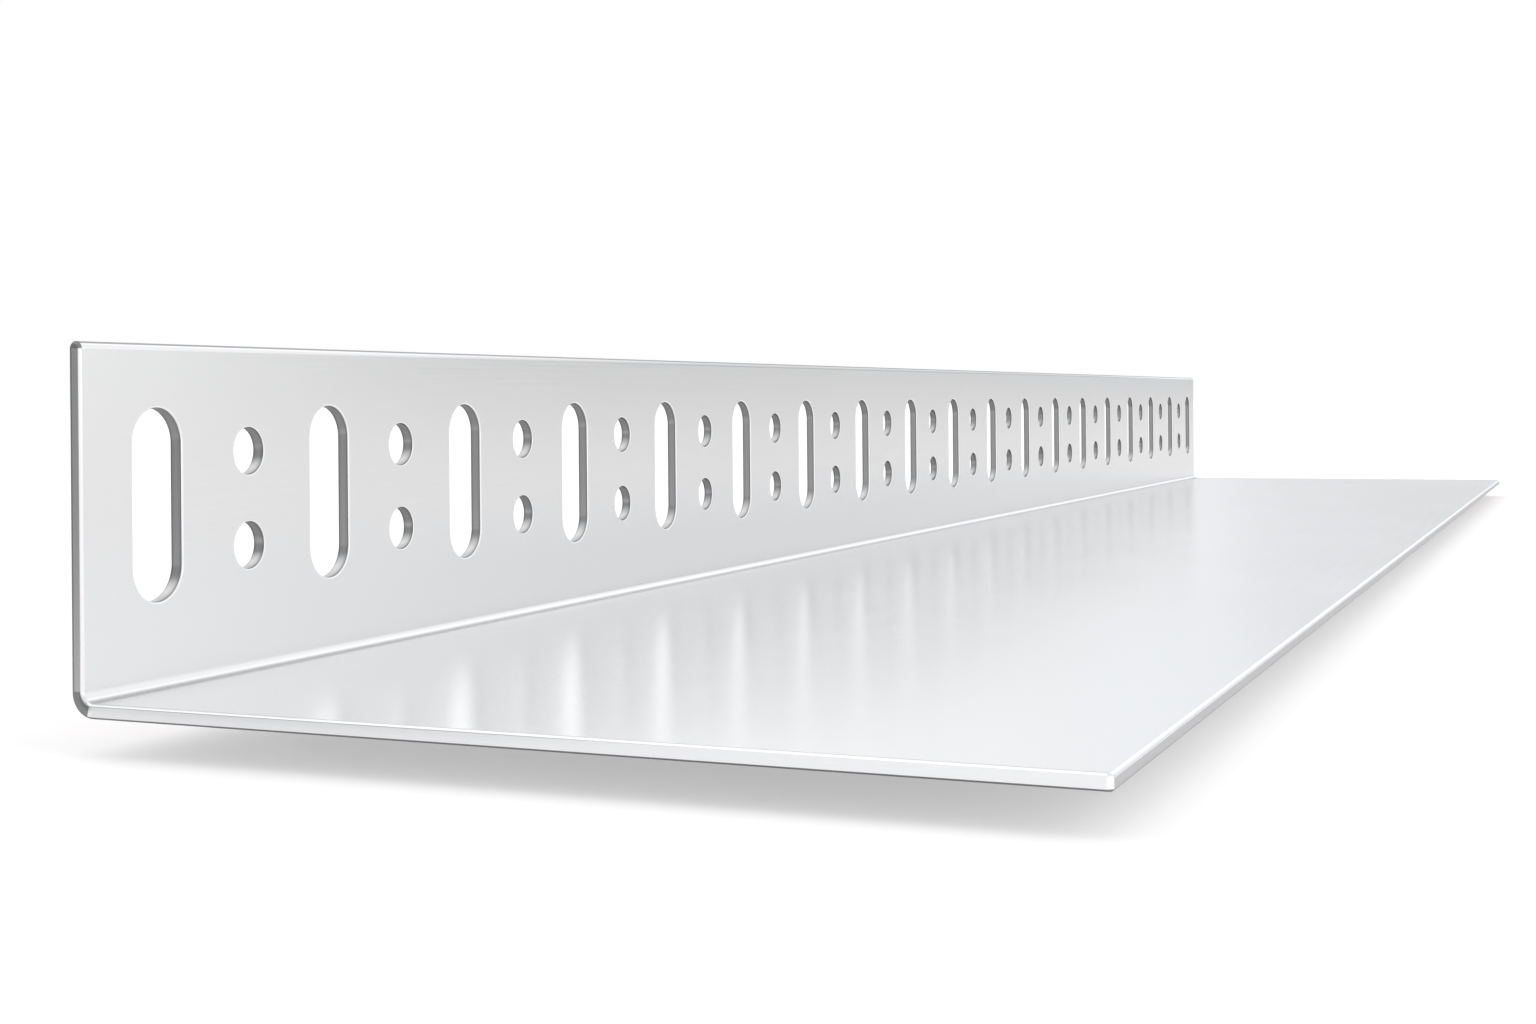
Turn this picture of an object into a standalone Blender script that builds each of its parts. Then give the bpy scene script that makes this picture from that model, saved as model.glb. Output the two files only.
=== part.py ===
"""Perforated edge bead: one length of aluminium sheet bent to an angle.

A wide flange lies flat, and a low leg rises along one of its long edges.
The leg is punched with upright slots, and with a pair of round holes between
each slot and the next. Units are metres and +Z is up. +Y runs along the
stock, +X from the leg to the flange's free edge, and the origin is in the
middle of the box round the part, at its underside.
"""
from math import cos, floor, radians, sin

import bmesh
import bpy

MM = 0.001

# Bent sheet
LENGTH = 750 * MM               # cut length of the stock
FLANGE_WIDTH = 140 * MM         # back of the leg to the flange's free edge
LEG_HEIGHT = 50 * MM            # underside of the flange to the leg's top
THICKNESS = 2 * MM              # sheet
INNER_BEND_RADIUS = 1.5 * MM    # in the corner between leg and flange
EDGE_BREAK = 0.4 * MM           # rounding of the sheared edges

# Punched leg
PUNCH_PITCH = 40 * MM           # from one slot to the next
SLOT_WIDTH = 10 * MM            # along the stock; the slot's ends are half round
BAND_UNDER_SLOTS = 14 * MM      # underside of the flange to a slot's lower end
BAND_OVER_SLOTS = 9 * MM        # slot's upper end to the leg's top
LEAST_END_BAND = 8 * MM         # least metal between the last slot and the cut end
HOLE_DIAMETER = 7 * MM          # round holes, two above each other
METAL_BETWEEN_HOLES = 7 * MM    # left between the two holes of a pair
RIM_BREAK = 0.2 * MM            # rolled-in rim, on the side that the punch enters

# Facets
BEND_STEPS = 6                  # in the quarter circle of the bend
TOP_EDGE_STEPS = 8              # in the half circle of the leg's top
EDGE_BREAK_STEPS = 2
SLOT_END_STEPS = 10             # in the half circle at each end of a slot
HOLE_STEPS = 16                 # round a hole

# Finish
ALUMINIUM_COLOUR = (0.81, 0.82, 0.84, 1.0)
ALUMINIUM_ROUGHNESS = 0.3

# Places that follow from the sizes
BACK_X = -FLANGE_WIDTH / 2                  # outer face of the leg
FACE_X = BACK_X + THICKNESS                 # inner face of the leg
FREE_EDGE_X = FLANGE_WIDTH / 2
OUTER_BEND_RADIUS = INNER_BEND_RADIUS + THICKNESS
SLOT_LOW = BAND_UNDER_SLOTS
SLOT_HIGH = LEG_HEIGHT - BAND_OVER_SLOTS
PATTERN_HEIGHT = (SLOT_LOW + SLOT_HIGH) / 2
HOLE_OFFSET = (HOLE_DIAMETER + METAL_BETWEEN_HOLES) / 2
PUNCH_OVERRUN = THICKNESS / 2               # how far a punch reaches past each face


def arc(centre, radius, start, end, steps):
    """Points along an arc from one angle to another, in degrees, both ends included."""
    angles = [radians(start + (end - start) * step / steps) for step in range(steps + 1)]
    return [(centre[0] + radius * cos(a), centre[1] + radius * sin(a)) for a in angles]


def section_outline():
    """The angle's section in X and Z, from the free edge round the bend and the leg and back."""
    bend_centre = (BACK_X + OUTER_BEND_RADIUS, OUTER_BEND_RADIUS)
    top_radius = THICKNESS / 2
    top_centre = (BACK_X + top_radius, LEG_HEIGHT - top_radius)
    outline = [(FREE_EDGE_X, 0)]
    outline += arc(bend_centre, OUTER_BEND_RADIUS, 270, 180, BEND_STEPS)
    outline += arc(top_centre, top_radius, 180, 0, TOP_EDGE_STEPS)
    outline += arc(bend_centre, INNER_BEND_RADIUS, 180, 270, BEND_STEPS)
    outline += [(FREE_EDGE_X, THICKNESS)]
    return outline


def slot_outline(y, grow):
    """An upright slot in Y and Z, grown all round by a small amount."""
    radius = SLOT_WIDTH / 2
    upper = arc((y, SLOT_HIGH - radius), radius + grow, 0, 180, SLOT_END_STEPS)
    lower = arc((y, SLOT_LOW + radius), radius + grow, 180, 360, SLOT_END_STEPS)
    return upper + lower


def hole_outline(y, z, grow):
    """A round hole in Y and Z, grown all round by a small amount."""
    return arc((y, z), HOLE_DIAMETER / 2 + grow, 0, 360, HOLE_STEPS)[:-1]


def slot_places():
    """Y of each slot: as many as the length takes at the pitch, centred on it."""
    least_margin = SLOT_WIDTH / 2 + LEAST_END_BAND
    gaps = floor((LENGTH - 2 * least_margin) / PUNCH_PITCH)
    return [(number - gaps / 2) * PUNCH_PITCH for number in range(gaps + 1)]


def add_punch(bm, outline_at):
    """One closed punch that goes through the leg and flares where it enters."""
    stations = [
        (BACK_X - PUNCH_OVERRUN, 0),
        (FACE_X - RIM_BREAK, 0),
        (FACE_X + PUNCH_OVERRUN, RIM_BREAK + PUNCH_OVERRUN),
    ]
    rings = []
    for x, grow in stations:
        rings.append([bm.verts.new((x, y, z)) for y, z in outline_at(grow)])
    for near, far in zip(rings, rings[1:]):
        for i in range(len(near)):
            bm.faces.new((near[i - 1], near[i], far[i], far[i - 1]))
    bm.faces.new(rings[0])
    bm.faces.new(rings[-1])


def add_object(name, bm):
    """Turn a finished bmesh into a smooth-shaded object whose real edges stay sharp."""
    bmesh.ops.recalc_face_normals(bm, faces=bm.faces)
    mesh = bpy.data.meshes.new(name)
    bm.to_mesh(mesh)
    bm.free()
    mesh.shade_smooth()
    mesh.set_sharp_from_angle(angle=radians(30))
    obj = bpy.data.objects.new(name, mesh)
    bpy.context.collection.objects.link(obj)
    return obj


def make_punches():
    """Every slot and hole of the leg, as one set of cutters."""
    bm = bmesh.new()
    slots = slot_places()
    for y in slots:
        add_punch(bm, lambda grow: slot_outline(y, grow))
    for left, right in zip(slots, slots[1:]):
        for z in (PATTERN_HEIGHT - HOLE_OFFSET, PATTERN_HEIGHT + HOLE_OFFSET):
            add_punch(bm, lambda grow: hole_outline((left + right) / 2, z, grow))
    punches = add_object("punches", bm)
    punches.hide_render = True
    punches.display_type = "WIRE"
    return punches


def make_angle():
    """The bent sheet: its section drawn out to length, edges broken, leg punched."""
    bm = bmesh.new()
    section = bm.faces.new([bm.verts.new((x, -LENGTH / 2, z)) for x, z in section_outline()])
    drawn = bmesh.ops.extrude_face_region(bm, geom=[section])["geom"]
    moved = [item for item in drawn if isinstance(item, bmesh.types.BMVert)]
    bmesh.ops.translate(bm, verts=moved, vec=(0, LENGTH, 0))
    angle = add_object("perforated_angle", bm)

    broken_edges = angle.modifiers.new("broken edges", "BEVEL")
    broken_edges.limit_method = "ANGLE"
    broken_edges.angle_limit = radians(60)
    broken_edges.width = EDGE_BREAK
    broken_edges.segments = EDGE_BREAK_STEPS
    broken_edges.use_clamp_overlap = False

    punching = angle.modifiers.new("punching", "BOOLEAN")
    punching.operation = "DIFFERENCE"
    punching.solver = "EXACT"
    punching.object = make_punches()
    return angle


def aluminium():
    """Mill-finished aluminium sheet, pale and softly reflecting."""
    material = bpy.data.materials.new("aluminium sheet")
    material.use_nodes = True
    surface = material.node_tree.nodes["Principled BSDF"]
    surface.inputs["Base Color"].default_value = ALUMINIUM_COLOUR
    surface.inputs["Metallic"].default_value = 1.0
    surface.inputs["Roughness"].default_value = ALUMINIUM_ROUGHNESS
    return material


for old in list(bpy.data.objects):
    bpy.data.objects.remove(old, do_unlink=True)

make_angle().data.materials.append(aluminium())
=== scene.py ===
"""Looks of the perforated edge bead: the bent and punched sheet, its finishes, and the studio round it."""
import math

import bmesh
import bpy
from mathutils import Matrix, Vector


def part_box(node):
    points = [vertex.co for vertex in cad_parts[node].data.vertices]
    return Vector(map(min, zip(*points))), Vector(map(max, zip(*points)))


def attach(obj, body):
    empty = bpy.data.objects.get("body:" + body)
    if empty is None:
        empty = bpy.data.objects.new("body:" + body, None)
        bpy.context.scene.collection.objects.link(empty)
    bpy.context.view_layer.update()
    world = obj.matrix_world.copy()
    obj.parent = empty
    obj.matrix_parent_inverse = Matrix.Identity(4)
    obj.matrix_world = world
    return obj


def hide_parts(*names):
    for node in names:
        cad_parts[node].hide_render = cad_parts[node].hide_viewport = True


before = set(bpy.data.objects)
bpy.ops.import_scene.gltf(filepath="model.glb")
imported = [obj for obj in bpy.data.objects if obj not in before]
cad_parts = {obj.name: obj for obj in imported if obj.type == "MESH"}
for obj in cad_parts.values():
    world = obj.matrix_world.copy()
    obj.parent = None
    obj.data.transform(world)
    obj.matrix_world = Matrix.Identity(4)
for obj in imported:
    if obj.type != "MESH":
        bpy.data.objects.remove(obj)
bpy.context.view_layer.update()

MM = 0.001

# Sizes of the bent sheet, as the frame has them
LOW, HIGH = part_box("perforated_angle")
SHEET = 2 * MM
INNER_BEND_RADIUS = 1.5 * MM
OUTER_BEND_RADIUS = INNER_BEND_RADIUS + SHEET
BACK_X = LOW.x
FACE_X = LOW.x + SHEET
MID_X = (BACK_X + FACE_X) / 2
PUNCH_PITCH = 40 * MM
SLOT_COUNT = 19
SLOT_WIDTH = 10 * MM
SLOT_LOW = 14 * MM
SLOT_HIGH = 41 * MM
HOLE_DIAMETER = 7 * MM
HOLE_SPACING = 14 * MM
PATTERN_HEIGHT = (SLOT_LOW + SLOT_HIGH) / 2
FIRST_SLOT_Y = -PUNCH_PITCH * (SLOT_COUNT - 1) / 2
PUNCH_LENGTH = 3 * SHEET            # reaches past the leg on both sides

# Softened edges
EDGE_BREAK = 0.4 * MM               # along the upper side of the sheet
UNDER_BREAK = 0.25 * MM             # along its underside
FREE_EDGE_BREAK = 0.55 * MM         # along the top of the flange's free edge
CORNER_BREAK = 0.8 * MM             # upright corners of the flange
ROUND = 0.5                         # profile of a quarter circle, where 0.25 is a flat chamfer
BREAK_PROFILE = 0.32                # filed rather than rounded
END_SHADE_BAND = 0.6 * MM             # band of painted shade on the leg's cut ends, next to its back
TOP_EDGE_RADIUS = 0.49 * SHEET      # nearly the full round, so that no face is left without width
SLOT_RIM = 0.3 * MM                 # where the punch went in
HOLE_RIM = 0.2 * MM
BACK_RIM = 0.12 * MM                # where it came out and the burr was taken off

# Facets
BEND_STEPS = 20
TOP_EDGE_STEPS = 10
BREAK_STEPS = 4
SLOT_SIDES = 72
HOLE_SIDES = 56
RIM_STEPS = 3
SHARP_TURN = math.radians(60)       # an edge that turns more than this is broken
SMOOTH_TURN = math.radians(40)      # one that turns less than this is shaded smooth

# Tests of where a face lies and which way it looks
SAME_PLACE = 0.01 * MM
SQUARE_ON = 0.98                    # share of a normal along an axis, if the face looks along it
LEANING = 0.05                      # the least share that counts as looking that way
OFF_SQUARE = 0.02                   # the least share that tells a corner's break from a flat face
INTO_RIM = 0.5                      # a rim's face looks at least this much out of the leg
CROWN_SLOPE = 0.75                  # the crown of the leg's top edge is painted dark, as a shade line, where it looks this much upward
BEND_END_TURN = math.radians(13.5)  # the painted shade on the end of the bend stops this far short of the flange

# Grain of the metal
GRAIN_DEPTH = 0.02 * MM
GRAIN_DETAIL = 3.0
GRAIN_SPREAD = (0.3, 0.7)           # nearly all of the noise lies between these
CLOUD_SIZE = 60 * MM                # broad, faint changes of gloss, as rolled sheet has
CLOUD_DETAIL = 2.0
CLOUD_GLOSS = 0.04                  # roughness that they add at most

# Painted shade, by X in mm, as the share of its brightness that the metal keeps: a dark line in the crease
# at the foot of the bend, fading over the first centimetre of the flange, and the whole leg a little darker
# than the flange. The first is for the leg.
CREASE_SHADE_MM = [
    (-68.0, 0.84), (-67.9, 0.95), (-67.55, 0.93), (-67.2, 0.62), (-66.75, 0.44), (-66.35, 0.54),
    (-65.9, 0.66), (-65.2, 0.75), (-64.4, 0.82), (-63.2, 0.89), (-61.5, 0.94), (-59, 0.98), (-56, 1.0),
]
UPPER_SIDE = (0.4 * SHEET, 0.6 * SHEET)     # from the underside up: the painted shade fades in between these

# Wall of a hole, by X in mm: the share of its brightness that the cut keeps, as painted shade that darkens
# both rims, and of the painted highlight at its bottom
WALL_SHADE_MM = [
    (-69.9, 0.55), (-69.75, 0.62), (-69.55, 0.95), (-69.2, 1.0), (-68.75, 1.0), (-68.45, 0.88),
    (-68.2, 0.60),
]
HOLE_HIGHLIGHT_MM = [(-69.9, 0.8), (-69.7, 1.0), (-69.2, 1.0), (-68.7, 0.7), (-68.4, 0.3), (-68.2, 0.1)]
HOLE_HIGHLIGHT_UPWARD = (0.3, 0.95)         # upward share of the normal: where the painted highlight starts, and is full
SHADE_UPWARD = (-0.35, 0.0)          # where the painted shade on the upper wall is darkest, and where it ends
SHADE_SHARE = 0.6                    # share of its brightness that the most shaded wall keeps
TOP_HIGHLIGHT_MM = (160, 350)            # from the middle of the length: where the painted highlight starts, and is full

# Finishes of the metal. Colours are sRGB hex, gloss is the lowest and highest roughness, and grain_mm the
# size of a mark in X, Y and Z. Real marks of rolls and tools are hundredths of a millimetre wide, too fine
# to show, so they are drawn as coarse as they need to be.
# Several finishes below carry painted shade or painted highlights, as their comments say
ROLLED, PUNCHED, PAINTED_GREY_SHADE, SHADE_LINE, SAWN, SLIT, BURNISHED, TOP_EDGE_SHOULDER = range(8)
FINISHES = [
    # Mill finish, as the sheet left the rolls: pale and satin, reflections drawn out along the roll marks,
    # with painted shade on the leg and in the crease of the bend
    dict(name="mill_finish_rolled_aluminium", colour="FDFEFF", gloss=(0.20, 0.24), grain_mm=(0.5, 45, 0.5),
         depth=0.05, painted_crease=True),
    # Torn through by the punch: a matt grey wall, scored in the punch's direction, with painted shade at its
    # rims and top and a painted highlight at its bottom
    dict(name="punched_aluminium", colour="B8B9BA", gloss=(0.28, 0.36), grain_mm=(2.5, 0.12, 0.12),
         depth=0.15, edge_tint="DCDCDC", hole_highlight="E8E8E8"),
    # Guillotined end of the leg, and the crown of its top edge: painted shade, mid grey beside the pale end
    # of the flange, with fine upright scores from the blade
    dict(name="aluminium_with_painted_grey_shade", colour="C2C3C4", gloss=(0.30, 0.40), grain_mm=(0.12, 0.12, 2.5),
         depth=0.15, edge_tint="CCCCCC"),
    # Painted shade: the darkest, roughest metal, drawn as a thin dark line round each cut
    dict(name="aluminium_with_painted_shade_lines", colour="979899", gloss=(0.34, 0.44), grain_mm=(0.12, 0.12, 2.5),
         depth=0.15, edge_tint="999999"),
    # Fine-sawn end of the flange: bright and matt, with faint scores across the width
    dict(name="sawn_aluminium_edge", colour="F9FBFD", gloss=(0.34, 0.44), grain_mm=(2.5, 0.12, 0.12),
         depth=0.10),
    # Free edge, as the slitting rolls left it: light grey, with scores along the stock
    dict(name="slit_aluminium_edge", colour="DCDDDF", gloss=(0.30, 0.40), grain_mm=(0.12, 2.5, 0.12),
         depth=0.15, edge_tint="E4E4E4"),
    # Breaks rubbed smooth after cutting: a thin white glint along every upper edge and rim
    dict(name="burnished_aluminium_edge", colour="FDFDFE", gloss=(0.20, 0.24), grain_mm=(12, 12, 12),
         depth=0.02),
    # Leg's rounded top: its shoulders light grey and satin in the middle of the length, with a painted
    # highlight towards the ends
    dict(name="top_edge_aluminium_with_painted_sheen", colour="D0D0D1", gloss=(0.20, 0.24), grain_mm=(0.5, 12, 0.5),
         depth=0.03, top_highlight="F8F8F9"),
]

# Camera, with the photograph's 1536 x 1024 frame
IMAGE_WIDTH_PX = 1536
FOCAL_LENGTH_PX = 1972.7
SHIFT_PX = -114.2
CAMERA_PLACE = (118.6 * MM, -578.9 * MM, 41.5 * MM)
CAMERA_TURN = math.radians(23.24)   # to the left of +Y
CAMERA_TILT = math.radians(0.04)
CAMERA_ROLL = math.radians(-0.49)
SENSOR_MM = 36
NEAREST_SEEN = 1 * MM

# Studio. The floor lies a little below the part, as the gap between edge and shadow in the photograph asks.
FLOOR_Z = -5 * MM
FLOOR_SIZE = 30.0
FLOOR_PAINT = "DCDADA"
FLOOR_GLOW = 0.32                   # light that the floor adds for the camera, to come out white
FLOOR_GLOW_MIRRORED = 0.14          # and for the metal's reflections
CARD_X = (-900 * MM, -50 * MM)      # a grey card stands just past the near end, out of the picture
CARD_Y = -475 * MM
CARD_TOP = 150 * MM
CARD_GLOW = 0.43
FLOOR_LIGHT = 1.33                  # strength of the room for the floor
ROOM_LIGHT = 2.0                    # and for the metal, because the room's ramps hold half of each level
SOFT_LIGHTS = [                     # name, turn about X, turn about Y, spread, and light that it gives
    ("top_light", math.radians(-30), 0, math.radians(90), 0.29),
    ("left_light", 0, math.radians(-62), math.radians(50), 0.12),
    ("right_light", 0, math.radians(62), math.radians(50), 0.12),
]

# Brightness of the room: the sine of a height above the horizon, then degrees clockwise from +Y and a level
ROOM = [
    (0.0, [
        (-180, 1.06), (-165, 1.12), (-150, 1.04), (-105, 0.90), (-60, 0.88), (-35, 0.93), (-28, 1.12),
        (-20, 1.46), (-14, 1.12), (-8, 0.55), (3, 0.49), (12, 0.65), (18, 0.67), (25, 0.56), (31, 0.56),
        (37, 0.69), (43, 1.16), (60, 1.15), (105, 1.15), (150, 1.08), (180, 1.06)]),
    (0.09, [
        (-180, 0.96), (-165, 1.00), (-150, 0.96), (-105, 0.90), (-60, 1.02), (-35, 1.18), (-28, 1.45),
        (-19, 1.53), (-14, 1.07), (-8, 0.65), (-2.5, 0.55), (0.5, 1.15), (7, 1.15), (10, 0.70), (18, 0.72),
        (25, 0.64), (34, 0.72), (43, 1.11), (60, 1.15), (105, 1.15), (150, 1.02), (180, 0.96)]),
    (0.21, [
        (-180, 0.78), (-150, 0.78), (-105, 0.88), (-60, 1.12), (-35, 1.29), (-28, 1.35), (-22, 0.98),
        (-18, 0.80), (-14, 0.78), (-9, 0.82), (-3, 0.76), (0, 1.15), (8, 1.15), (12, 0.88), (34, 0.96),
        (50, 1.06), (105, 1.00), (150, 0.82), (180, 0.78)]),
    (0.45, [
        (-180, 0.76), (-120, 0.82), (-60, 0.84), (-40, 0.92), (-20, 0.97), (-11, 1.15), (16, 1.15),
        (26, 0.96), (40, 0.94), (60, 0.86), (120, 0.80), (180, 0.76)]),
    (0.72, [
        (-180, 0.82), (-165, 1.00), (-150, 1.10), (-82, 1.10), (-65, 0.84), (-20, 0.84), (-9, 1.14),
        (15, 1.14), (26, 0.88), (120, 0.80), (180, 0.82)]),
    (0.95, [
        (-180, 0.92), (-165, 1.10), (-70, 1.10), (-45, 0.88), (60, 0.84), (150, 0.84), (180, 0.92)]),
    (1.0, [(-180, 0.88), (180, 0.88)]),
]
DAYLIGHT_TINT = (0.985, 1.0, 1.02)
PLAIN_TINT = (1, 1, 1)
COOL_HALF_WIDTH = 15                # degrees each side of +Y in which the light is cooler

# Colour sockets of a Mix node, which have the same names as its other sockets
MIX_A, MIX_B, MIX_RESULT = 6, 7, 2


def only(obj):
    """Select one object and nothing else."""
    bpy.ops.object.select_all(action="DESELECT")
    obj.select_set(True)
    bpy.context.view_layer.objects.active = obj


def open_mesh(obj, mode):
    """Open an object's mesh for editing, with nothing in it selected. mode is VERT, EDGE or FACE."""
    only(obj)
    bpy.ops.object.mode_set(mode="EDIT")
    bpy.ops.mesh.select_mode(type=mode)
    bpy.ops.mesh.select_all(action="DESELECT")


def close_mesh():
    bpy.ops.object.mode_set(mode="OBJECT")


def pick(obj, kind, test):
    """Select the vertices, edges or faces of the open mesh that pass a test of their place."""
    bm = bmesh.from_edit_mesh(obj.data)
    for item in getattr(bm, kind):
        if test(item):
            item.select_set(True)
    bm.select_flush_mode()
    bmesh.update_edit_mesh(obj.data)


def apply_modifier(obj, kind, **settings):
    """Add a modifier with these settings and apply it."""
    only(obj)
    modifier = obj.modifiers.new(kind.lower(), kind)
    for name, value in settings.items():
        setattr(modifier, name, value)
    bpy.ops.object.modifier_apply(modifier=modifier.name)


def near(a, b):
    return abs(a - b) < SAME_PLACE


def lies_at(edge, axis, place):
    """True if both ends of an edge lie at one place along an axis."""
    return all(near(v.co[axis], place) for v in edge.verts)


def runs_along(edge):
    """True if an edge runs along the stock."""
    return abs(edge.verts[0].co.y - edge.verts[1].co.y) > SHEET


def bent_sheet():
    """Flange and leg folded from one skin, given the sheet's thickness, with every edge softened."""
    bpy.ops.mesh.primitive_plane_add(size=1, location=(0, 0, LOW.z))
    sheet = bpy.context.object
    sheet.name = "bead"
    sheet.data.name = "bead"
    open_mesh(sheet, "VERT")
    bpy.ops.mesh.select_all(action="SELECT")
    bpy.ops.transform.resize(value=(HIGH.x - LOW.x, HIGH.y - LOW.y, 1))
    bpy.ops.mesh.select_mode(type="EDGE")
    bpy.ops.mesh.select_all(action="DESELECT")
    pick(sheet, "edges", lambda e: lies_at(e, 0, BACK_X))
    bpy.ops.mesh.extrude_region_move(TRANSFORM_OT_translate={"value": (0, 0, HIGH.z - LOW.z)})
    bpy.ops.mesh.select_all(action="DESELECT")
    pick(sheet, "edges", lambda e: lies_at(e, 0, BACK_X) and lies_at(e, 2, LOW.z))
    bpy.ops.mesh.bevel(offset=OUTER_BEND_RADIUS, segments=BEND_STEPS, profile=ROUND, affect="EDGES")
    close_mesh()

    upward = sheet.data.polygons[0].normal.z > 0
    apply_modifier(sheet, "SOLIDIFY", thickness=SHEET, offset=1 if upward else -1, use_even_offset=True)
    open_mesh(sheet, "EDGE")
    pick(sheet, "edges", lambda e: lies_at(e, 2, HIGH.z) and runs_along(e))
    bpy.ops.mesh.bevel(offset=TOP_EDGE_RADIUS, segments=TOP_EDGE_STEPS, profile=ROUND, affect="EDGES")
    bpy.ops.mesh.select_all(action="SELECT")
    bpy.ops.mesh.bisect(plane_co=(0, 0, HIGH.z - TOP_EDGE_RADIUS), plane_no=(0, 0, 1))
    bpy.ops.mesh.select_all(action="DESELECT")
    bpy.ops.mesh.edges_select_sharp(sharpness=SHARP_TURN)
    bm = bmesh.from_edit_mesh(sheet.data)
    share = bm.edges.layers.float.new("bevel_weight_edge")
    for edge in bm.edges:
        edge[share] = break_of(edge) / CORNER_BREAK if edge.select else 0
    bmesh.update_edit_mesh(sheet.data)
    close_mesh()
    apply_modifier(sheet, "BEVEL", limit_method="WEIGHT", width=CORNER_BREAK, segments=BREAK_STEPS,
                   profile=BREAK_PROFILE, use_clamp_overlap=False)

    bend_top = LOW.z + OUTER_BEND_RADIUS
    open_mesh(sheet, "FACE")
    pick(sheet, "faces", lambda f: abs(f.normal.y) > SQUARE_ON and f.calc_center_median().z > bend_top)
    bpy.ops.mesh.bisect(plane_co=(BACK_X + END_SHADE_BAND, 0, 0), plane_no=(1, 0, 0))
    close_mesh()
    return sheet


def break_of(edge):
    """How far a sheared edge of the sheet is softened."""
    start, end = (v.co for v in edge.verts)
    middle = (start + end) / 2
    at_free_edge = near(middle.x, HIGH.x)
    if at_free_edge and abs(middle.y) > HIGH.y - MM and not near(start.z, end.z):
        return CORNER_BREAK
    if near(middle.z, LOW.z):
        return UNDER_BREAK
    if at_free_edge and runs_along(edge):
        return FREE_EDGE_BREAK
    centre = Vector((BACK_X + OUTER_BEND_RADIUS, middle.y, LOW.z + OUTER_BEND_RADIUS))
    in_bend = middle.x < centre.x and middle.z < centre.z
    if in_bend and (middle - centre).length > (INNER_BEND_RADIUS + OUTER_BEND_RADIUS) / 2:
        return UNDER_BREAK + (EDGE_BREAK - UNDER_BREAK) * (middle.z - LOW.z) / OUTER_BEND_RADIUS
    return EDGE_BREAK


def add_punch(name, radius, sides, low, high, first_y, count):
    """A row of punches through the leg. The upper half of each is raised, where it cuts a slot."""
    place = (MID_X, first_y, low)
    bpy.ops.mesh.primitive_cylinder_add(
        vertices=sides, radius=radius, depth=PUNCH_LENGTH, location=place, rotation=(0, math.pi / 2, 0))
    punch = bpy.context.object
    punch.name = name
    bpy.ops.object.transform_apply(location=True, rotation=True, scale=True)
    open_mesh(punch, "VERT")
    bpy.ops.mesh.select_all(action="SELECT")
    half_side = math.pi / sides
    bpy.ops.transform.rotate(value=half_side, orient_axis="X", center_override=place)
    bpy.ops.mesh.select_all(action="DESELECT")
    pick(punch, "verts", lambda v: v.co.z > low)
    bpy.ops.transform.translate(value=(0, 0, high - low))
    close_mesh()
    apply_modifier(punch, "ARRAY", count=count, use_relative_offset=False, use_constant_offset=True,
                   constant_offset_displace=(0, PUNCH_PITCH, 0))
    return punch


def punch_leg(sheet):
    """Cut the slots and the pairs of round holes, and soften their rims."""
    slot_radius = SLOT_WIDTH / 2
    hole_radius = HOLE_DIAMETER / 2
    punches = [add_punch("slot_punches", slot_radius, SLOT_SIDES, SLOT_LOW + slot_radius,
                         SLOT_HIGH - slot_radius, FIRST_SLOT_Y, SLOT_COUNT)]
    for side in (-1, 1):
        z = PATTERN_HEIGHT + side * HOLE_SPACING / 2
        punches.append(add_punch("hole_punches", hole_radius, HOLE_SIDES, z, z,
                                 FIRST_SLOT_Y + PUNCH_PITCH / 2, SLOT_COUNT - 1))
    bpy.ops.object.select_all(action="DESELECT")
    for punch in punches:
        punch.select_set(True)
    bpy.context.view_layer.objects.active = punches[0]
    bpy.ops.object.join()
    cutter = bpy.context.object
    apply_modifier(sheet, "BOOLEAN", operation="DIFFERENCE", solver="EXACT", object=cutter)
    bpy.data.objects.remove(cutter, do_unlink=True)

    soften_rims(sheet, FACE_X, SLOT_RIM, (True,))
    soften_rims(sheet, FACE_X, HOLE_RIM, (False,))
    soften_rims(sheet, BACK_X, BACK_RIM, (True, False))


def soften_rims(sheet, x, rim, of_slots):
    """Round the rims of the slots, of the round holes or of both, on one side of the leg."""
    open_mesh(sheet, "EDGE")
    bpy.ops.mesh.edges_select_sharp(sharpness=SHARP_TURN)
    bm = bmesh.from_edit_mesh(sheet.data)
    for edge in bm.edges:
        if edge.select and not (lies_at(edge, 0, x) and near_slot(edge.verts[0].co.y) in of_slots):
            edge.select_set(False)
    bm.select_flush_mode()
    bmesh.update_edit_mesh(sheet.data)
    bpy.ops.mesh.bevel(offset=rim, segments=RIM_STEPS, profile=ROUND, affect="EDGES")
    close_mesh()


def near_slot(y):
    """True if a place along the leg is nearer a slot than a pair of holes."""
    from_slot = (y - FIRST_SLOT_Y) % PUNCH_PITCH
    return min(from_slot, PUNCH_PITCH - from_slot) < PUNCH_PITCH / 4


def finish_of_end(x, z, normal):
    """Finish of a face of the two cut ends, breaks included. The flat cut is painted in shades: grey on the
    leg, darkest on the bend and pale on the flange, with dark shade lines along its edges.
    """
    # Painted shade lines: the cap of the top edge, breaks that face back or down, and a band next to the
    # back
    if z > HIGH.z - TOP_EDGE_RADIUS or min(normal.x, normal.z) < -LEANING or z < LOW.z + UNDER_BREAK:
        return SHADE_LINE
    if x < BACK_X + END_SHADE_BAND:
        return SHADE_LINE
    if abs(normal.y) < SQUARE_ON:
        return BURNISHED
    # Painted shade: the leg's end grey, the bend's end darkest, the flange's end left pale
    if z > LOW.z + OUTER_BEND_RADIUS:
        return PAINTED_GREY_SHADE
    turn = math.atan2(BACK_X + OUTER_BEND_RADIUS - x, LOW.z + OUTER_BEND_RADIUS - z)
    return SHADE_LINE if turn > BEND_END_TURN else SAWN


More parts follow.
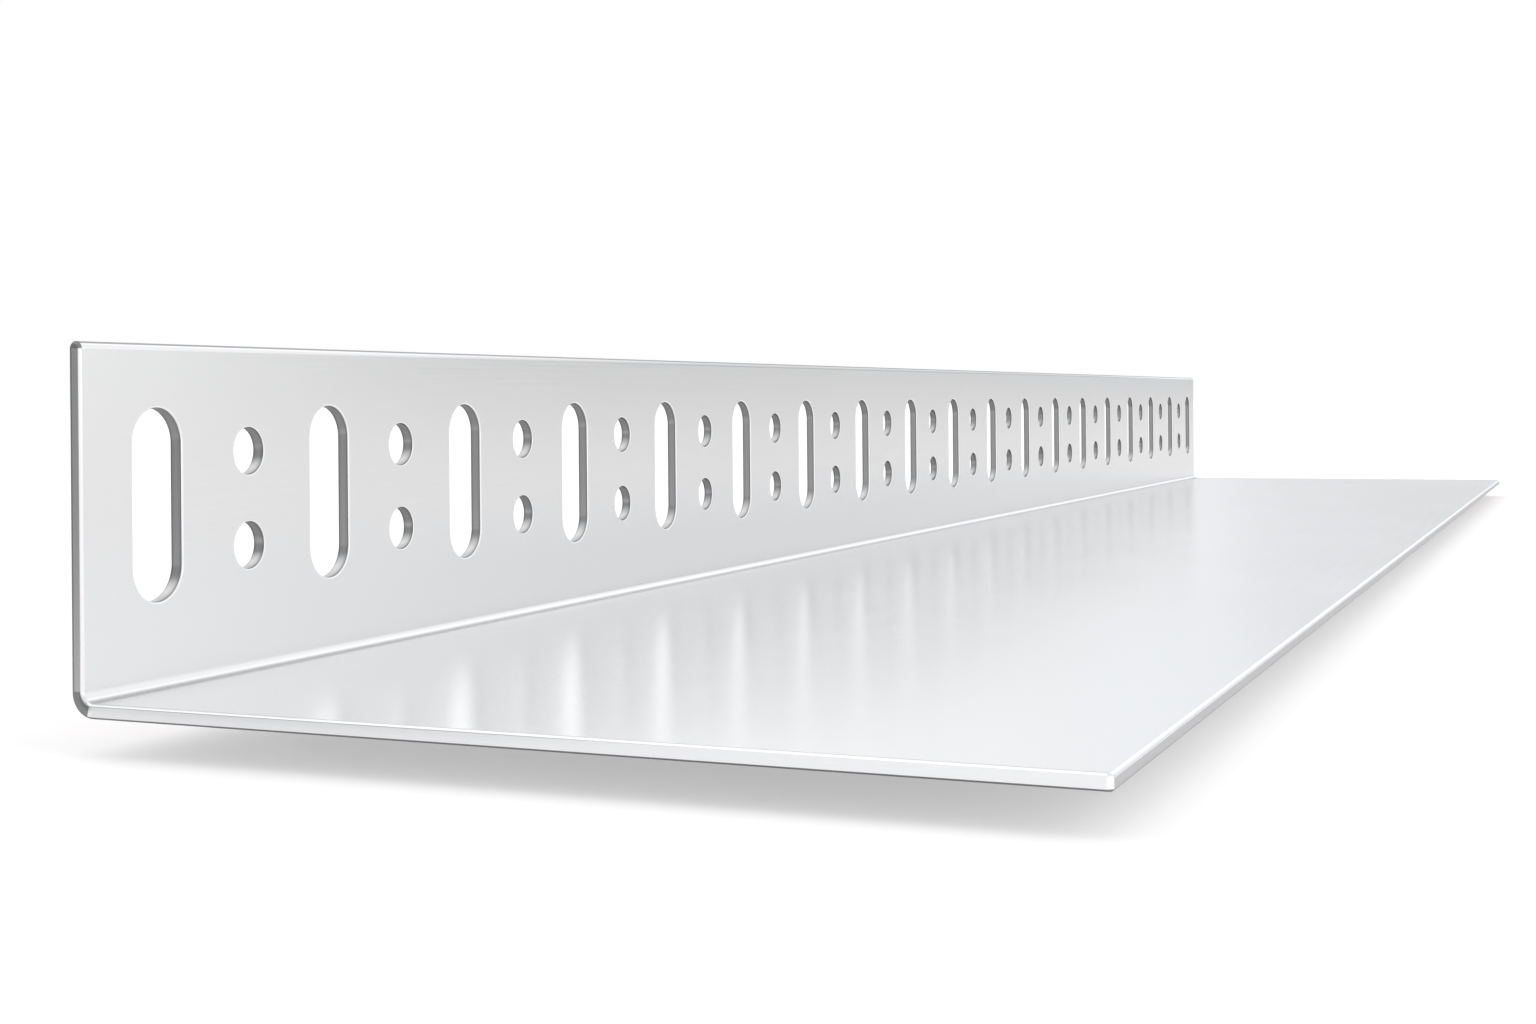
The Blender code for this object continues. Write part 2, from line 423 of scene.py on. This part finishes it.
def finish_of(face):
    """Which finish a face has, by where it lies and which way it looks."""
    x, y, z = face.center
    normal = face.normal
    if abs(y) > HIGH.y - CORNER_BREAK and not near(abs(normal.x), 1) and not near(abs(normal.z), 1):
        if abs(y) > HIGH.y - EDGE_BREAK or abs(normal.y) > OFF_SQUARE:
            return finish_of_end(x, z, normal)
    if x > HIGH.x - FREE_EDGE_BREAK and not near(abs(normal.z), 1):
        # Painted shade line under the free edge
        if z < LOW.z + UNDER_BREAK:
            return SHADE_LINE
        return BURNISHED if normal.z > LEANING else SLIT
    in_pattern = SLOT_LOW - SHEET < z < SLOT_HIGH + SHEET and BACK_X < x < FACE_X
    if in_pattern and abs(normal.x) < SQUARE_ON:
        if abs(normal.x) < LEANING:
            return PUNCHED
        # The rims' inner strips get a painted shade line, and their outer strips the bright break
        return BURNISHED if normal.x > INTO_RIM else SHADE_LINE
    # The crown of the top edge is painted as a dark shade line, and its shoulders get a painted highlight
    # towards the ends
    if z > HIGH.z - TOP_EDGE_RADIUS:
        return PAINTED_GREY_SHADE if normal.z > CROWN_SLOPE else TOP_EDGE_SHOULDER
    return ROLLED


def dress(sheet):
    """Give each face its finish, painted shade and painted highlights included."""
    for finish in FINISHES:
        sheet.data.materials.append(aluminium(**finish))
    for face in sheet.data.polygons:
        face.material_index = finish_of(face)


def mark_upward(sheet):
    """Note how far each place faces up, for the painted highlight at the bottom and the painted shade at the
    top of the walls of the holes.
    """
    upward = sheet.data.attributes.new("upward", "FLOAT", "CORNER")
    for loop, normal in zip(upward.data, sheet.data.corner_normals):
        loop.value = normal.vector.z


def linear(hex_colour):
    """An sRGB hex colour as the linear colour that a shader takes."""
    levels = [int(hex_colour[i:i + 2], 16) / 255 for i in (0, 2, 4)]
    return tuple(c / 12.92 if c <= 0.04045 else ((c + 0.055) / 1.055) ** 2.4 for c in levels) + (1.0,)


def add_node(tree, kind, inputs=None, **settings):
    """Add one shader node. inputs gives its sockets a value, or the output that they are linked from."""
    node = tree.nodes.new(kind)
    for name, value in settings.items():
        setattr(node, name, value)
    for socket, value in (inputs or {}).items():
        if isinstance(value, bpy.types.NodeSocket):
            tree.links.new(value, node.inputs[socket])
        else:
            node.inputs[socket].default_value = value
    return node


def empty_material(name):
    material = bpy.data.materials.new(name)
    material.use_nodes = True
    material.node_tree.nodes.clear()
    return material, material.node_tree


def set_stops(ramp, stops):
    """Fill a colour ramp. Each stop is a place, in any unit from the first to the last, and a colour."""
    first, last = stops[0][0], stops[-1][0]
    while len(ramp.elements) > 1:
        ramp.elements.remove(ramp.elements[-1])
    for number, (place, *colour) in enumerate(stops):
        share = (place - first) / (last - first)
        stop = ramp.elements.new(share) if number else ramp.elements[0]
        stop.position = share
        stop.color = (*colour, 1)


def shade_across(tree, place, stops_mm):
    """Grey from black to white, by the place in X. stops_mm gives X in mm and the share of white."""
    part = add_node(tree, "ShaderNodeSeparateXYZ", {0: place})
    across = add_node(tree, "ShaderNodeMapRange", {
        "Value": part.outputs["X"], "From Min": stops_mm[0][0] * MM, "From Max": stops_mm[-1][0] * MM})
    shade = add_node(tree, "ShaderNodeValToRGB", {"Fac": across.outputs[0]})
    set_stops(shade.color_ramp, [(x, share, share, share) for x, share in stops_mm])
    return shade.outputs["Color"]


def crease_and_leg_shade(tree, place):
    """Painted shade in the crease at the foot of the bend and on the leg, on the upper side only."""
    part = add_node(tree, "ShaderNodeSeparateXYZ", {0: place})
    upper_side = add_node(tree, "ShaderNodeMapRange", {
        "Value": part.outputs["Z"], "From Min": LOW.z + UPPER_SIDE[0], "From Max": LOW.z + UPPER_SIDE[1]})
    return add_node(tree, "ShaderNodeMix", {
        "Factor": upper_side.outputs[0], MIX_A: linear("FFFFFF"),
        MIX_B: shade_across(tree, place, CREASE_SHADE_MM)}, data_type="RGBA").outputs[MIX_RESULT]


def lower_wall(tree, place):
    """Share of the painted highlight on a hole's wall: none on its sides, and most at its bottom, where it
    faces up.
    """
    upward = add_node(tree, "ShaderNodeAttribute", attribute_name="upward").outputs["Fac"]
    bottom = add_node(tree, "ShaderNodeMapRange", {
        "Value": upward, "From Min": HOLE_HIGHLIGHT_UPWARD[0], "From Max": HOLE_HIGHLIGHT_UPWARD[1]},
        interpolation_type="SMOOTHSTEP")
    depth = shade_across(tree, place, HOLE_HIGHLIGHT_MM)
    return add_node(tree, "ShaderNodeMath", {
        0: bottom.outputs[0], 1: depth}, operation="MULTIPLY").outputs[0]


def upper_wall(tree):
    """Painted shade: share of its brightness that a hole's wall keeps, by how far it faces down: least at
    its top.
    """
    upward = add_node(tree, "ShaderNodeAttribute", attribute_name="upward").outputs["Fac"]
    return add_node(tree, "ShaderNodeMapRange", {
        "Value": upward, "From Min": SHADE_UPWARD[0], "From Max": SHADE_UPWARD[1],
        "To Min": SHADE_SHARE, "To Max": 1.0}, interpolation_type="SMOOTHSTEP").outputs[0]


def near_ends(tree, place):
    """Share of the painted highlight on the leg's top edge: all of it at the cut ends, none in the middle.
    """
    part = add_node(tree, "ShaderNodeSeparateXYZ", {0: place})
    along = add_node(tree, "ShaderNodeMath", {0: part.outputs["Y"]}, operation="ABSOLUTE")
    return add_node(tree, "ShaderNodeMapRange", {
        "Value": along.outputs[0], "From Min": TOP_HIGHLIGHT_MM[0] * MM, "From Max": TOP_HIGHLIGHT_MM[1] * MM},
        interpolation_type="SMOOTHSTEP").outputs[0]


def marked_colour(tree, place, colour, painted_crease, hole_highlight, top_highlight):
    """Colour of the metal, with the painted shade of the crease and the leg, the painted shade and painted
    highlight on the walls of the holes, or the painted highlight on the top edge, where it has one.
    """
    base = linear(colour)
    # Painted shade on the leg and in the crease of the bend
    if painted_crease:
        base = add_node(tree, "ShaderNodeMix", {
            "Factor": 1.0, MIX_A: base, MIX_B: crease_and_leg_shade(tree, place)},
            data_type="RGBA", blend_type="MULTIPLY").outputs[MIX_RESULT]
    if hole_highlight:
        # Painted shade: darker at both rims and at the top of a hole's wall
        for share in (shade_across(tree, place, WALL_SHADE_MM), upper_wall(tree)):
            base = add_node(tree, "ShaderNodeMix", {"Factor": 1.0, MIX_A: base, MIX_B: share},
                            data_type="RGBA", blend_type="MULTIPLY").outputs[MIX_RESULT]
        # Painted highlight at the bottom of a hole's wall
        base = add_node(tree, "ShaderNodeMix", {
            "Factor": lower_wall(tree, place), MIX_A: base, MIX_B: linear(hole_highlight)},
            data_type="RGBA").outputs[MIX_RESULT]
    # Painted highlight towards the ends of the top edge
    if top_highlight:
        base = add_node(tree, "ShaderNodeMix", {
            "Factor": near_ends(tree, place), MIX_A: base, MIX_B: linear(top_highlight)},
            data_type="RGBA").outputs[MIX_RESULT]
    return base


def aluminium(name, colour, gloss, grain_mm, depth, edge_tint="FFFFFF", painted_crease=False, hole_highlight=None,
              top_highlight=None):
    """Bare aluminium: a metal with directional grain in gloss and relief, and broad clouds in its gloss."""
    material, tree = empty_material(name)
    place = add_node(tree, "ShaderNodeTexCoord").outputs["Object"]
    stretch = [1 / (size * MM) for size in grain_mm]
    marks = add_node(tree, "ShaderNodeMapping", {"Vector": place, "Scale": stretch})
    grain = add_node(tree, "ShaderNodeTexNoise", {
        "Vector": marks.outputs[0], "Scale": 1.0, "Detail": GRAIN_DETAIL})
    cloud = add_node(tree, "ShaderNodeTexNoise", {
        "Vector": place, "Scale": 1 / CLOUD_SIZE, "Detail": CLOUD_DETAIL})
    grain_gloss = add_node(tree, "ShaderNodeMapRange", {
        "Value": grain.outputs[0], "From Min": GRAIN_SPREAD[0], "From Max": GRAIN_SPREAD[1],
        "To Min": gloss[0], "To Max": gloss[1]})
    uneven_gloss = add_node(tree, "ShaderNodeMath", {
        0: cloud.outputs[0], 1: CLOUD_GLOSS, 2: grain_gloss.outputs[0]}, operation="MULTIPLY_ADD")
    relief = add_node(tree, "ShaderNodeBump", {
        "Height": grain.outputs[0], "Strength": depth, "Distance": GRAIN_DEPTH})
    metal = add_node(tree, "ShaderNodeBsdfPrincipled", {
        "Base Color": marked_colour(tree, place, colour, painted_crease, hole_highlight, top_highlight), "Metallic": 1.0,
        "Roughness": uneven_gloss.outputs[0], "Specular Tint": linear(edge_tint),
        "Normal": relief.outputs[0]})
    add_node(tree, "ShaderNodeOutputMaterial", {"Surface": metal.outputs[0]})
    return material


def add_camera():
    camera = bpy.data.objects.new("camera", bpy.data.cameras.new("camera"))
    bpy.context.scene.collection.objects.link(camera)
    camera.data.sensor_width = SENSOR_MM
    camera.data.lens = FOCAL_LENGTH_PX / IMAGE_WIDTH_PX * SENSOR_MM
    camera.data.shift_y = SHIFT_PX / IMAGE_WIDTH_PX
    camera.data.clip_start = NEAREST_SEEN
    turn = Matrix.Rotation(CAMERA_TURN, 4, "Z")
    tilt = Matrix.Rotation(math.pi / 2 + CAMERA_TILT, 4, "X")
    roll = Matrix.Rotation(CAMERA_ROLL, 4, "Z")
    camera.matrix_world = Matrix.Translation(CAMERA_PLACE) @ turn @ tilt @ roll
    bpy.context.scene.camera = camera


def add_floor():
    """A white studio floor that keeps the part's soft shadow and has no horizon."""
    bpy.ops.mesh.primitive_plane_add(size=FLOOR_SIZE, location=(0, 0, FLOOR_Z))
    floor = bpy.context.object
    floor.name = "studio_floor"
    material, tree = empty_material("white_studio_floor")
    paint = add_node(tree, "ShaderNodeBsdfDiffuse", {"Color": linear(FLOOR_PAINT)})
    path = add_node(tree, "ShaderNodeLightPath")
    mirrored = add_node(tree, "ShaderNodeMath", {
        0: path.outputs["Is Glossy Ray"], 1: FLOOR_GLOW_MIRRORED}, operation="MULTIPLY")
    shown = add_node(tree, "ShaderNodeMath", {
        0: path.outputs["Is Camera Ray"], 1: FLOOR_GLOW, 2: mirrored.outputs[0]}, operation="MULTIPLY_ADD")
    glow = add_node(tree, "ShaderNodeEmission", {"Color": linear("FFFFFF"), "Strength": shown.outputs[0]})
    both = add_node(tree, "ShaderNodeAddShader", {0: paint.outputs[0], 1: glow.outputs[0]})
    add_node(tree, "ShaderNodeOutputMaterial", {"Surface": both.outputs[0]})
    floor.data.materials.append(material)


def add_grey_card():
    """A low grey card that only reflections see. It darkens the leg's cut end and the slots' walls."""
    middle = (sum(CARD_X) / 2, CARD_Y, (FLOOR_Z + CARD_TOP) / 2)
    bpy.ops.mesh.primitive_plane_add(size=1, location=middle, rotation=(math.pi / 2, 0, 0))
    card = bpy.context.object
    card.name = "grey_card"
    card.scale = (CARD_X[1] - CARD_X[0], CARD_TOP - FLOOR_Z, 1)
    material, tree = empty_material("grey_card_paint")
    paint = add_node(tree, "ShaderNodeEmission", {"Color": linear("FFFFFF"), "Strength": CARD_GLOW})
    add_node(tree, "ShaderNodeOutputMaterial", {"Surface": paint.outputs[0]})
    card.data.materials.append(material)
    card.visible_camera = False
    card.visible_diffuse = False
    card.visible_shadow = False
    card.visible_transmission = False


def ring(tree, turn, stops):
    """Half of the light round the room at one height. stops are degrees clockwise from +Y and a level."""
    ramp = add_node(tree, "ShaderNodeValToRGB", {"Fac": turn})
    ramp.color_ramp.interpolation = "EASE"
    shades = []
    for degrees, level in stops:
        tint = DAYLIGHT_TINT if abs(degrees) < COOL_HALF_WIDTH else PLAIN_TINT
        shades.append((degrees, *(level / ROOM_LIGHT * share for share in tint)))
    set_stops(ramp.color_ramp, shades)
    return ramp.outputs["Color"]


def add_room():
    """A pale room for the metal to mirror, and a white backdrop for the camera."""
    world = bpy.data.worlds.new("white_room")
    world.use_nodes = True
    bpy.context.scene.world = world
    tree = world.node_tree
    tree.nodes.clear()
    direction = add_node(tree, "ShaderNodeTexCoord").outputs["Generated"]
    part = add_node(tree, "ShaderNodeSeparateXYZ", {0: direction})
    angle = add_node(tree, "ShaderNodeMath", {
        0: part.outputs["X"], 1: part.outputs["Y"]}, operation="ARCTAN2")
    turn = add_node(tree, "ShaderNodeMapRange", {
        "Value": angle.outputs[0], "From Min": -math.pi, "From Max": math.pi})
    level = ring(tree, turn.outputs[0], ROOM[0][1])
    for (low, _), (high, stops) in zip(ROOM, ROOM[1:]):
        rise = add_node(tree, "ShaderNodeMapRange", {
            "Value": part.outputs["Z"], "From Min": low, "From Max": high}, interpolation_type="SMOOTHSTEP")
        level = add_node(tree, "ShaderNodeMix", {
            "Factor": rise.outputs[0], MIX_A: level, MIX_B: ring(tree, turn.outputs[0], stops)},
            data_type="RGBA").outputs[MIX_RESULT]
    path = add_node(tree, "ShaderNodeLightPath")
    strength = add_node(tree, "ShaderNodeMath", {
        0: path.outputs["Is Diffuse Ray"], 1: FLOOR_LIGHT - ROOM_LIGHT, 2: ROOM_LIGHT},
        operation="MULTIPLY_ADD")
    room = add_node(tree, "ShaderNodeBackground", {"Color": level, "Strength": strength.outputs[0]})
    backdrop = add_node(tree, "ShaderNodeBackground", {"Color": linear("FFFFFF"), "Strength": 1.0})
    shown = add_node(tree, "ShaderNodeMixShader", {
        0: path.outputs["Is Camera Ray"], 1: room.outputs[0], 2: backdrop.outputs[0]})
    add_node(tree, "ShaderNodeOutputWorld", {"Surface": shown.outputs[0]})


def add_soft_lights():
    """Broad lamps that light and shade the floor. The metal mirrors the room alone."""
    for name, turn_x, turn_y, spread, light in SOFT_LIGHTS:
        lamp = bpy.data.objects.new(name, bpy.data.lights.new(name, "SUN"))
        bpy.context.scene.collection.objects.link(lamp)
        lamp.rotation_euler = (turn_x, turn_y, 0)
        lamp.data.energy = math.pi * light / math.cos(turn_x + turn_y)
        lamp.data.angle = spread
        lamp.visible_glossy = False


bead = bent_sheet()
punch_leg(bead)
dress(bead)
only(bead)
bpy.ops.object.shade_smooth_by_angle(angle=SMOOTH_TURN)
apply_modifier(bead, "WEIGHTED_NORMAL", keep_sharp=True)
mark_upward(bead)
bpy.ops.object.transform_apply(location=True, rotation=True, scale=True)
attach(bead, "root")
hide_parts("perforated_angle")

add_camera()
add_floor()
add_grey_card()
add_room()
add_soft_lights()
bpy.context.scene.view_settings.view_transform = "Standard"
